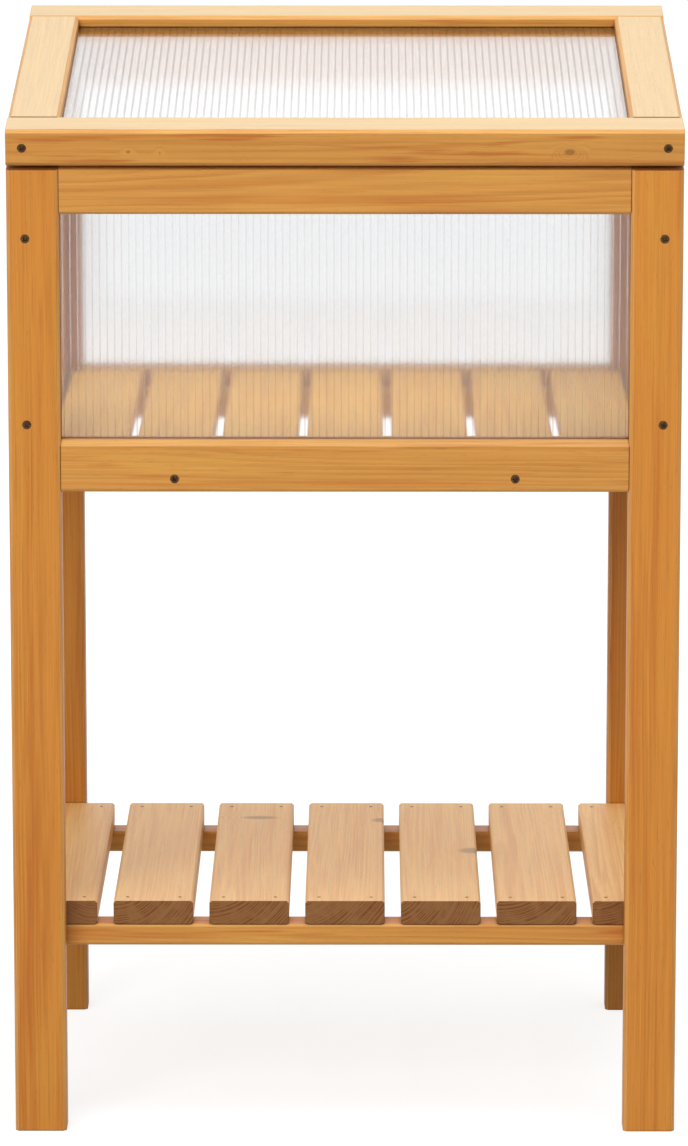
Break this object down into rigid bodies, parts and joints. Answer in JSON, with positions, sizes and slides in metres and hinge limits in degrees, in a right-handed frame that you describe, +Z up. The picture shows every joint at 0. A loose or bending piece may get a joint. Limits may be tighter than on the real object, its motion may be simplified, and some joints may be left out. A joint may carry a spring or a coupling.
{
  "type": "raised cold frame planter",
  "caption": "Wooden cold frame on legs: a box glazed with fluted twin-wall sheet under a sloping hinged lid, with a slatted floor and an open slatted shelf below.",
  "frame": {"origin": "on the floor, under the middle of the object", "axes": "+X to the right seen from the front, +Y from the front to the rear, +Z up"},
  "size_m": [0.58, 0.449, 0.9497],
  "materials": {
    "stained_wood": "honey-stained softwood, planed, matt",
    "slat_wood": "stained softwood slats, planed, matt",
    "twin_wall_sheet": "clear twin-wall polycarbonate with fine flutes",
    "hinge_steel": "zinc-plated pressed steel",
    "fastener_steel": "dull plated steel"
  },
  "bodies": {
    "frame": {"front_left_leg": "stained_wood", "front_right_leg": "stained_wood", "rear_left_leg": "stained_wood", "rear_right_leg": "stained_wood", "front_top_rail": "stained_wood", "front_bottom_rail": "stained_wood", "rear_top_rail": "stained_wood", "rear_bottom_rail": "stained_wood", "left_top_rail": "stained_wood", "left_bottom_rail": "stained_wood", "right_top_rail": "stained_wood", "right_bottom_rail": "stained_wood", "left_front_stile": "stained_wood", "left_rear_stile": "stained_wood", "right_front_stile": "stained_wood", "right_rear_stile": "stained_wood", "floor_slat_1": "slat_wood", "floor_slat_2": "slat_wood", "floor_slat_3": "slat_wood", "floor_slat_4": "slat_wood", "floor_slat_5": "slat_wood", "floor_slat_6": "slat_wood", "floor_slat_7": "slat_wood", "shelf_slat_1": "slat_wood", "shelf_slat_2": "slat_wood", "shelf_slat_3": "slat_wood", "shelf_slat_4": "slat_wood", "shelf_slat_5": "slat_wood", "shelf_slat_6": "slat_wood", "shelf_slat_7": "slat_wood", "floor_front_batten": "slat_wood", "floor_rear_batten": "slat_wood", "shelf_front_batten": "slat_wood", "shelf_rear_batten": "slat_wood", "front_panel": "twin_wall_sheet", "rear_panel": "twin_wall_sheet", "left_panel": "twin_wall_sheet", "right_panel": "twin_wall_sheet", "left_hinge_frame_leaf": "hinge_steel", "right_hinge_frame_leaf": "hinge_steel", "left_hinge_pin": "hinge_steel", "right_hinge_pin": "hinge_steel", "leg_screws": "fastener_steel", "floor_screws": "fastener_steel", "shelf_screws": "fastener_steel", "hinge_frame_screws": "fastener_steel", "floor_brads": "fastener_steel", "shelf_brads": "fastener_steel"},
    "lid": {"lid_front_rail": "stained_wood", "lid_rear_rail": "stained_wood", "lid_left_rail": "stained_wood", "lid_right_rail": "stained_wood", "lid_panel": "twin_wall_sheet", "left_hinge_lid_leaf": "hinge_steel", "right_hinge_lid_leaf": "hinge_steel", "lid_screws": "fastener_steel", "hinge_lid_screws": "fastener_steel"}
  },
  "joints": [
    {"name": "lid_hinge", "type": "hinge", "parent": "frame", "child": "lid", "pos_m": [0, 0.2213, 0.91696], "axis": [-1, 0, 0], "range_deg": [0, 110]}
  ]
}
